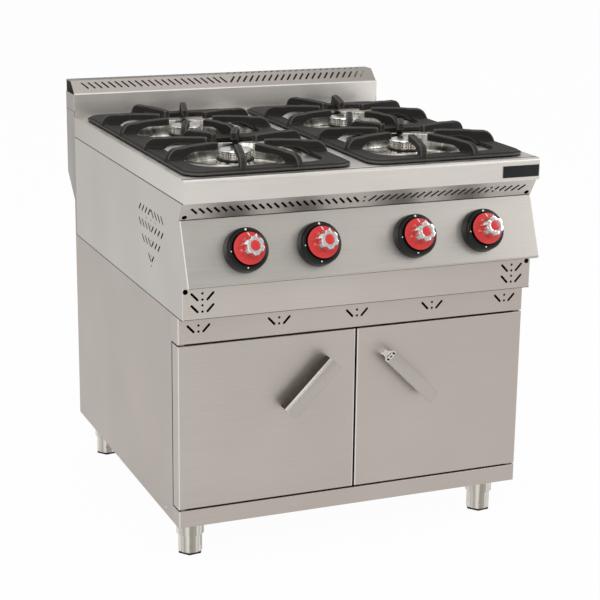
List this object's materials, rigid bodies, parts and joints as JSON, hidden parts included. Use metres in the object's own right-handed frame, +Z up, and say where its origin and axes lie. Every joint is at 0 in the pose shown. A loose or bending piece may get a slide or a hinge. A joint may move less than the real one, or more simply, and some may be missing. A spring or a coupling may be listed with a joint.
{
  "type": "commercial gas stove",
  "caption": "Free-standing stainless steel gas stove with open burners under cast grates, a leaning panel with turn-and-push knobs, a slotted flue hood and a cabinet with hinged doors.",
  "frame": {"origin": "on the floor, under the middle of the stove's box", "axes": "+X to the stove's right as its user faces it, +Y to the back, +Z up"},
  "size_m": [0.8, 0.9684, 0.923],
  "materials": {
    "satin_steel": "satin",
    "plain_steel": "mill",
    "polished_steel": "polished",
    "handle_metal": "satin",
    "burner_alloy": "cast",
    "grate_iron": "enamelled",
    "tap_brass": "machined",
    "bezel_black": "gloss",
    "dial_red": "gloss",
    "grip_chrome": "polished"
  },
  "bodies": {
    "chassis": {"cabinet_side_right": "satin_steel", "cabinet_side_left": "satin_steel", "cabinet_back": "plain_steel", "cabinet_floor": "plain_steel", "base_channels": "plain_steel", "front_rail": "satin_steel", "plinth": "satin_steel", "hinge_pins": "plain_steel", "foot_sleeves": "polished_steel", "hob_side_right": "satin_steel", "hob_side_left": "satin_steel", "hob_frame": "plain_steel", "front_cheeks": "satin_steel", "vent_strip": "satin_steel", "control_panel": "satin_steel", "lower_fascia": "satin_steel", "worktop": "satin_steel", "flue_duct": "satin_steel", "flue_hood": "satin_steel", "burner_bases": "burner_alloy", "drip_bowl_front_left": "polished_steel", "drip_bowl_rear_left": "polished_steel", "drip_bowl_front_right": "polished_steel", "drip_bowl_rear_right": "polished_steel", "gas_line": "plain_steel", "gas_taps": "tap_brass", "burner_pipes": "plain_steel", "knob_bezels": "bezel_black"},
    "door_left": {"door_skin_left": "satin_steel", "door_liner_left": "plain_steel", "door_handle_left": "handle_metal"},
    "door_right": {"door_skin_right": "satin_steel", "door_liner_right": "plain_steel", "door_handle_right": "handle_metal"},
    "grate_left": {"grate_left": "grate_iron"},
    "grate_right": {"grate_right": "grate_iron"},
    "head_front_left": {"burner_head_front_left": "burner_alloy"},
    "cap_front_left": {"burner_cap_front_left": "polished_steel"},
    "head_rear_left": {"burner_head_rear_left": "burner_alloy"},
    "cap_rear_left": {"burner_cap_rear_left": "polished_steel"},
    "head_front_right": {"burner_head_front_right": "burner_alloy"},
    "cap_front_right": {"burner_cap_front_right": "polished_steel"},
    "head_rear_right": {"burner_head_rear_right": "burner_alloy"},
    "cap_rear_right": {"burner_cap_rear_right": "polished_steel"},
    "foot_front_left": {"foot_front_left": "polished_steel"},
    "foot_front_right": {"foot_front_right": "polished_steel"},
    "foot_rear_left": {"foot_rear_left": "polished_steel"},
    "foot_rear_right": {"foot_rear_right": "polished_steel"},
    "plug_1": {"tap_plug_1": "tap_brass"},
    "knob_1": {"knob_dial_1": "dial_red", "knob_grip_1": "grip_chrome"},
    "plug_2": {"tap_plug_2": "tap_brass"},
    "knob_2": {"knob_dial_2": "dial_red", "knob_grip_2": "grip_chrome"},
    "plug_3": {"tap_plug_3": "tap_brass"},
    "knob_3": {"knob_dial_3": "dial_red", "knob_grip_3": "grip_chrome"},
    "plug_4": {"tap_plug_4": "tap_brass"},
    "knob_4": {"knob_dial_4": "dial_red", "knob_grip_4": "grip_chrome"}
  },
  "joints": [
    {"name": "door_left_hinge", "type": "hinge", "parent": "chassis", "child": "door_left", "pos_m": [-0.388, -0.36477, 0.1285], "axis": [0, 0, -1], "range_deg": [0, 110]},
    {"name": "door_right_hinge", "type": "hinge", "parent": "chassis", "child": "door_right", "pos_m": [0.388, -0.36477, 0.1285], "axis": [0, 0, 1], "range_deg": [0, 110]},
    {"name": "grate_left_lift", "type": "slide", "parent": "chassis", "child": "grate_left", "axis": [0, 0, 1], "range_m": [0, 0.1]},
    {"name": "grate_right_lift", "type": "slide", "parent": "chassis", "child": "grate_right", "axis": [0, 0, 1], "range_m": [0, 0.1]},
    {"name": "head_front_left_lift", "type": "slide", "parent": "chassis", "child": "head_front_left", "axis": [0, 0, 1], "range_m": [0, 0.04]},
    {"name": "cap_front_left_lift", "type": "slide", "parent": "head_front_left", "child": "cap_front_left", "axis": [0, 0, 1], "range_m": [0, 0.04]},
    {"name": "head_rear_left_lift", "type": "slide", "parent": "chassis", "child": "head_rear_left", "axis": [0, 0, 1], "range_m": [0, 0.04]},
    {"name": "cap_rear_left_lift", "type": "slide", "parent": "head_rear_left", "child": "cap_rear_left", "axis": [0, 0, 1], "range_m": [0, 0.04]},
    {"name": "head_front_right_lift", "type": "slide", "parent": "chassis", "child": "head_front_right", "axis": [0, 0, 1], "range_m": [0, 0.04]},
    {"name": "cap_front_right_lift", "type": "slide", "parent": "head_front_right", "child": "cap_front_right", "axis": [0, 0, 1], "range_m": [0, 0.04]},
    {"name": "head_rear_right_lift", "type": "slide", "parent": "chassis", "child": "head_rear_right", "axis": [0, 0, 1], "range_m": [0, 0.04]},
    {"name": "cap_rear_right_lift", "type": "slide", "parent": "head_rear_right", "child": "cap_rear_right", "axis": [0, 0, 1], "range_m": [0, 0.04]},
    {"name": "foot_front_left_screw", "type": "slide", "parent": "chassis", "child": "foot_front_left", "axis": [0, 0, -1], "range_m": [0, 0.025]},
    {"name": "foot_front_right_screw", "type": "slide", "parent": "chassis", "child": "foot_front_right", "axis": [0, 0, -1], "range_m": [0, 0.025]},
    {"name": "foot_rear_left_screw", "type": "slide", "parent": "chassis", "child": "foot_rear_left", "axis": [0, 0, -1], "range_m": [0, 0.025]},
    {"name": "foot_rear_right_screw", "type": "slide", "parent": "chassis", "child": "foot_rear_right", "axis": [0, 0, -1], "range_m": [0, 0.025]},
    {"name": "knob_1_turn", "type": "hinge", "parent": "chassis", "child": "plug_1", "pos_m": [-0.269, -0.41477, 0.68775], "axis": [0, -0.929, 0.3702], "range_deg": [0, 180]},
    {"name": "knob_1_push", "type": "slide", "parent": "plug_1", "child": "knob_1", "axis": [0, 0.929, -0.3702], "range_m": [0, 0.003], "stiffness_N_per_m": 800, "springref_m": -0.004},
    {"name": "knob_2_turn", "type": "hinge", "parent": "chassis", "child": "plug_2", "pos_m": [-0.109, -0.41477, 0.68775], "axis": [0, -0.929, 0.3702], "range_deg": [0, 180]},
    {"name": "knob_2_push", "type": "slide", "parent": "plug_2", "child": "knob_2", "axis": [0, 0.929, -0.3702], "range_m": [0, 0.003], "stiffness_N_per_m": 800, "springref_m": -0.004},
    {"name": "knob_3_turn", "type": "hinge", "parent": "chassis", "child": "plug_3", "pos_m": [0.109, -0.41477, 0.68775], "axis": [0, -0.929, 0.3702], "range_deg": [0, 180]},
    {"name": "knob_3_push", "type": "slide", "parent": "plug_3", "child": "knob_3", "axis": [0, 0.929, -0.3702], "range_m": [0, 0.003], "stiffness_N_per_m": 800, "springref_m": -0.004},
    {"name": "knob_4_turn", "type": "hinge", "parent": "chassis", "child": "plug_4", "pos_m": [0.269, -0.41477, 0.68775], "axis": [0, -0.929, 0.3702], "range_deg": [0, 180]},
    {"name": "knob_4_push", "type": "slide", "parent": "plug_4", "child": "knob_4", "axis": [0, 0.929, -0.3702], "range_m": [0, 0.003], "stiffness_N_per_m": 800, "springref_m": -0.004}
  ]
}
